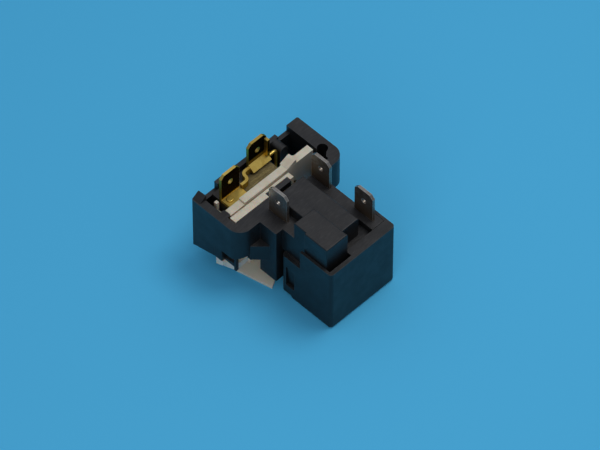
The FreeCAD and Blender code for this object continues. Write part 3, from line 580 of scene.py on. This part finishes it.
def dress_blades():
    # The two blades' brass differs only as painted light and shade
    near_brass = blade_brass("near_brass_blade_brass", near_bend, near_brass_lit_share)
    far_brass = blade_brass("far_brass_blade_brass", far_bend, far_brass_shaded_share)
    strip_brass = blade_brass("strip_brass", far_bend)
    tinned_brass = metal(
        "tinned_brass", *tin, tin_marks,
        stain=tin_stain, stain_foot=tin_stain_foot,
        wear_and_glint=tin_edge_glint, worn=tin_glint_reach, metallic=tin_metallic,
    )
    dress("near_brass_blade", near_brass, stamped_edge)
    dress("far_brass_blade", far_brass, stamped_edge)
    for name in ("heater_strip", "heater_hook", "near_blade_rivet"):
        dress(name, strip_brass)
    for name in ("near_terminal", "middle_terminal", "far_terminal"):
        dress(name, tinned_brass, stamped_edge)


def dress_inner_metals():
    sockets = ("start_pin_socket", "run_pin_socket", "common_pin_socket", "common_jumper", "centre_stud")
    steels = ("protector_case", "bimetal_disc", "inner_pill_spring", "outer_pill_spring")
    silvers = ("near_fixed_contact", "near_moving_contact", "far_fixed_contact", "far_moving_contact")
    for material, names in (
        (metal("socket_brass", *socket_brass), sockets),
        (metal("case_steel", *case_steel), steels),
        (metal("contact_silver", *contact_silver), silvers),
    ):
        for name in names:
            dress(name, material)


# Small forms on the wing and the insulator

def moulded_piece(name, near, far, node="main_housing"):
    """A prism between two outlines, with the material of the node that it stands on."""
    shape = bmesh.new()
    front = [shape.verts.new(point) for point in near]
    back = [shape.verts.new(point) for point in far]
    shape.faces.new(front)
    shape.faces.new(list(reversed(back)))
    for i, corner in enumerate(front):
        shape.faces.new((front[i - 1], back[i - 1], back[i], corner))
    bmesh.ops.recalc_face_normals(shape, faces=shape.faces)
    mesh = bpy.data.meshes.new(name)
    shape.to_mesh(mesh)
    shape.free()
    piece = bpy.data.objects.new(name, mesh)
    bpy.context.collection.objects.link(piece)
    soften(piece, moulded_edge)
    mesh.materials.append(nodes[node].data.materials[0])
    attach(piece, "root")


def wing_skirt():
    """Brings the wall's lower edge down over the insulator's nose, flush with the wall."""
    wall_x0, wall_y0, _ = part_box("main_housing")[0]
    wall_y0 += flush_gap
    rise = math.tan(math.radians(shell_slope))
    under_notch = wing_foot + (notch_x0 - wall_x0) * rise
    start_x = wall_x0 + skirt_start
    outline = [
        (start_x, wing_foot + skirt_start * rise + form_hold),
        (start_x, wing_foot + skirt_start * rise),
        (notch_x0, skirt_foot),
        (skirt_end, skirt_foot),
        (skirt_end, notch_top + form_hold),
        (notch_x0 - form_hold, notch_top + form_hold),
        (notch_x0 - form_hold, under_notch + form_hold),
    ]
    moulded_piece(
        "wing_skirt",
        [(x, wall_y0, z) for x, z in outline],
        [(x, wall_y0 + skirt_depth, z) for x, z in outline],
    )


def corner_ramp():
    """The raised corner at the wall's outer end, which slopes down to the wall's face."""
    x0, y0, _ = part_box("main_housing")[0]
    x0 += flush_gap
    outlines = []
    for x, rise in ((x0, ramp_rise), (x0 + ramp_length, ramp_far_rise)):
        outlines.append([
            (x, y0 + form_hold, wing_top - form_hold),
            (x, y0 + form_hold, wing_top + flush_gap),
            (x, y0 + ramp_depth - form_hold, wing_top + rise),
            (x, y0 + ramp_depth, wing_top + rise - form_hold),
            (x, y0 + ramp_depth, wing_top - ramp_rise),
        ])
    moulded_piece("corner_ramp", *outlines)


def bar_hump():
    """The hump that the insulator's main bar rises to before its far stretch."""
    profile = [
        (hump_y0, wing_top - form_hold),
        (hump_y0, wing_top + flush_gap),
        (hump_y1 - hump_flat, wing_top + hump_rise),
        (hump_y1, wing_top + hump_rise),
        (hump_y1, wing_top - form_hold),
    ]
    moulded_piece(
        "bar_hump",
        [(hump_x0, y, z) for y, z in profile],
        [(hump_x1, y, z) for y, z in profile],
        "insulator_carrier",
    )


def nose_lip():
    """The lip that hangs beside the end of the insulator's nose, with an arm to the skirt."""
    profile = [
        (lip_x0, notch_top + form_hold),
        (lip_x0, lip_foot + lip_slant),
        (skirt_end - form_hold, lip_foot + lip_width),
        (skirt_end - form_hold, lip_foot),
        (lip_x0, lip_foot),
        (lip_x0, lip_foot - lip_slant),
        (lip_x0 + lip_width, lip_foot - lip_slant),
        (lip_x0 + lip_width, notch_top + form_hold),
    ]
    moulded_piece(
        "nose_lip",
        [(x, lip_y0, z) for x, z in profile],
        [(x, lip_y0 + lip_depth, z) for x, z in profile],
    )


# Stage

def floor_material():
    """Matt card that looks brighter than the light it throws on the object."""
    material, tree, shader = start_material("floor_card")
    rays = tree.nodes.new("ShaderNodeLightPath").outputs
    seen = arithmetic(tree, "MAXIMUM", rays["Is Camera Ray"], rays["Is Glossy Ray"])
    seen = arithmetic(tree, "MAXIMUM", seen, rays["Is Transmission Ray"])
    tree.links.new(mixed(tree, seen, floor_bounce, floor_seen), shader.inputs["Base Color"])
    shader.inputs["Roughness"].default_value = floor_roughness
    shader.inputs["Specular IOR Level"].default_value = floor_gloss
    return material


def floor():
    half = floor_half
    corners = [(-half, -half, 0), (half, -half, 0), (half, half, 0), (-half, half, 0)]
    mesh = bpy.data.meshes.new("floor")
    mesh.from_pydata(corners, [], [(0, 1, 2, 3)])
    mesh.materials.append(floor_material())
    plane = bpy.data.objects.new("floor", mesh)
    bpy.context.collection.objects.link(plane)


def sky():
    world = bpy.data.worlds.new("studio")
    world.use_nodes = True
    tree = world.node_tree
    direction = tree.nodes.new("ShaderNodeTexCoord").outputs["Generated"]
    height = spread(tree, coordinate(tree, direction, "Z"), sky_low, sky_high)
    tree.links.new(mixed(tree, height, sky_side, sky_top), tree.nodes["Background"].inputs["Color"])
    bpy.context.scene.world = world


def lamp(name, place, size, power, colour):
    data = bpy.data.lights.new(name, "AREA")
    data.shape = "DISK"
    data.size = size
    data.energy = power
    data.color = colour
    turned = bpy.data.objects.new(name, data)
    turned.location = place
    aim = Vector(lamp_aim) - Vector(place)
    turned.rotation_euler = aim.to_track_quat("-Z", "Y").to_euler()
    bpy.context.collection.objects.link(turned)


def camera():
    turn = math.radians(azimuth)
    rise = math.radians(elevation)
    level = math.cos(rise)
    back = Vector((math.sin(turn) * level, -math.cos(turn) * level, math.sin(rise)))
    data = bpy.data.cameras.new("camera")
    data.lens = lens
    data.sensor_width = film_width
    data.clip_start = clip_near
    data.clip_end = clip_far
    seat = bpy.data.objects.new("camera", data)
    seat.location = Vector(look_at) + back * camera_distance
    seat.rotation_euler = (-back).to_track_quat("-Z", "Y").to_euler()
    bpy.context.collection.objects.link(seat)
    bpy.context.scene.camera = seat


dress_plastics()
dress_blades()
dress_inner_metals()
wing_skirt()
corner_ramp()
bar_hump()
nose_lip()
floor()
sky()
lamp("key", key_place, key_size, key_power, key_colour)
lamp("fill", fill_place, fill_size, fill_power, fill_colour)
camera()
bpy.context.scene.view_settings.view_transform = "Standard"
